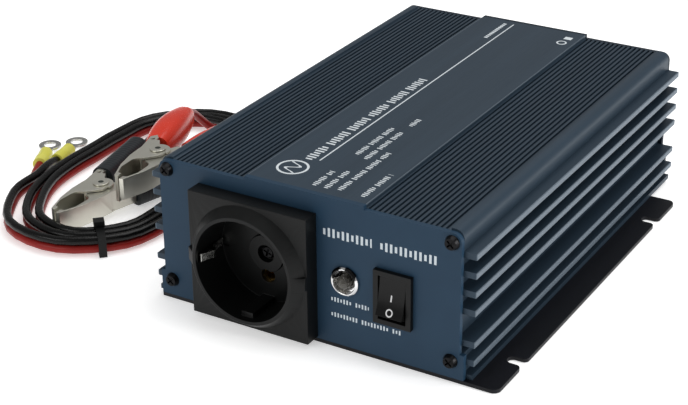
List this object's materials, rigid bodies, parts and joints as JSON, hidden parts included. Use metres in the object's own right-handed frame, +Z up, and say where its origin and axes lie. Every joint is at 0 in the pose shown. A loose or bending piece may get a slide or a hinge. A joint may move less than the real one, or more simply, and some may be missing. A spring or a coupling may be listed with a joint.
{
  "type": "power inverter",
  "caption": "Battery-powered inverter in a finned metal case with a round earthed outlet, lamp and rocker switch, with loose clip leads.",
  "frame": {"origin": "centre of the inverter's own bounding box, at the surface it stands on; the loose leads are left out of it", "axes": "+Z up, front panel with the outlet towards -Y, input studs towards +Y, switch side towards +X"},
  "size_m": [0.2685, 0.2188, 0.0594],
  "materials": {
    "slate_anodised": "satin anodised",
    "blue_panel": "satin",
    "dark_panel": "satin",
    "black_sheet": "satin powder coat",
    "black_screw": "black oxide",
    "black_plastic": "fine grain",
    "switch_plastic": "gloss",
    "bright_steel": "bright",
    "brass_plate": "satin",
    "chrome": "mirror",
    "clear_lens": "clear",
    "red_plastic": "gloss",
    "board_green": "solder mask",
    "ferrite": "dull",
    "winding_tape": "tape",
    "capacitor_sleeve": "sleeve",
    "epoxy_black": "moulded",
    "plain_aluminium": "milled",
    "copper": "enamelled",
    "fuse_yellow": "translucent",
    "brown_wire": "satin",
    "red_wire": "satin",
    "red_lead": "satin",
    "black_lead": "satin",
    "yellow_sleeve": "satin",
    "clip_steel": "nickel plated",
    "handle_vinyl": "soft gloss",
    "black_vinyl": "soft gloss",
    "red_vinyl": "soft gloss"
  },
  "bodies": {
    "case": {"case_extrusion": "slate_anodised", "front_plate": "blue_panel", "rear_plate": "dark_panel", "base_plate": "black_sheet", "front_plate_screws": "black_screw", "rear_plate_screws": "black_screw", "base_plate_screws": "black_screw", "outlet_housing": "black_plastic", "outlet_earth_clips": "bright_steel", "outlet_contacts": "brass_plate", "outlet_centre_screw": "black_screw", "lamp_holder": "chrome", "lamp_lens": "clear_lens", "lamp_nut": "bright_steel", "switch_housing": "black_plastic", "switch_terminals": "brass_plate", "fan_frame": "black_plastic", "fan_guard": "bright_steel", "fan_screws": "black_screw", "positive_bushing": "red_plastic", "negative_bushing": "black_plastic", "input_studs": "brass_plate", "stud_nuts": "brass_plate", "stud_washers": "bright_steel", "earth_screw": "brass_plate", "circuit_board": "board_green", "board_spacers": "bright_steel", "inside_screws": "bright_steel", "transformer_core": "ferrite", "transformer_winding": "winding_tape", "capacitors": "capacitor_sleeve", "input_transistors": "epoxy_black", "output_transistors": "epoxy_black", "transistor_bars": "plain_aluminium", "filter_choke": "copper", "control_board": "board_green", "buzzer": "black_plastic", "blade_fuses": "fuse_yellow", "outlet_wires": "brown_wire", "input_wires": "red_wire", "red_lead_tail": "red_lead", "red_lead_coil": "red_lead", "red_lead_rise": "red_lead", "black_lead_tail": "black_lead", "black_lead_coil": "black_lead", "black_lead_rise": "black_lead", "lead_tie": "black_plastic", "lead_lugs": "bright_steel", "lug_sleeves": "yellow_sleeve", "clip_rivets": "clip_steel", "clip_springs": "clip_steel", "black_clip_fixed_half": "clip_steel", "red_clip_fixed_half": "clip_steel", "clip_fixed_sleeves": "handle_vinyl"},
    "rocker": {"switch_rocker": "switch_plastic"},
    "fan": {"fan_rotor": "black_plastic"},
    "black_clip_jaw": {"black_clip_moving_half": "clip_steel", "black_moving_sleeve": "black_vinyl"},
    "red_clip_jaw": {"red_clip_moving_half": "clip_steel", "red_moving_sleeve": "red_vinyl"}
  },
  "joints": [
    {"name": "rocker_tilt", "type": "hinge", "parent": "case", "child": "rocker", "pos_m": [0.0366, -0.0958, 0.0267], "axis": [1, 0, 0], "range_deg": [0, 26]},
    {"name": "fan_spin", "type": "hinge", "parent": "case", "child": "fan", "pos_m": [-0.03, 0.0845, 0.031], "axis": [0, 1, 0], "continuous": true},
    {"name": "black_clip_squeeze", "type": "hinge", "parent": "case", "child": "black_clip_jaw", "pos_m": [-0.1294, -0.0514, 0.00665], "axis": [0, 0, 1], "range_deg": [0, 22], "stiffness_Nm_per_rad": 0.3, "springref_deg": -34.38},
    {"name": "red_clip_squeeze", "type": "hinge", "parent": "case", "child": "red_clip_jaw", "pos_m": [-0.1104, -0.036, 0.02035], "axis": [0, 0, 1], "range_deg": [0, 22], "stiffness_Nm_per_rad": 0.3, "springref_deg": -34.38}
  ]
}
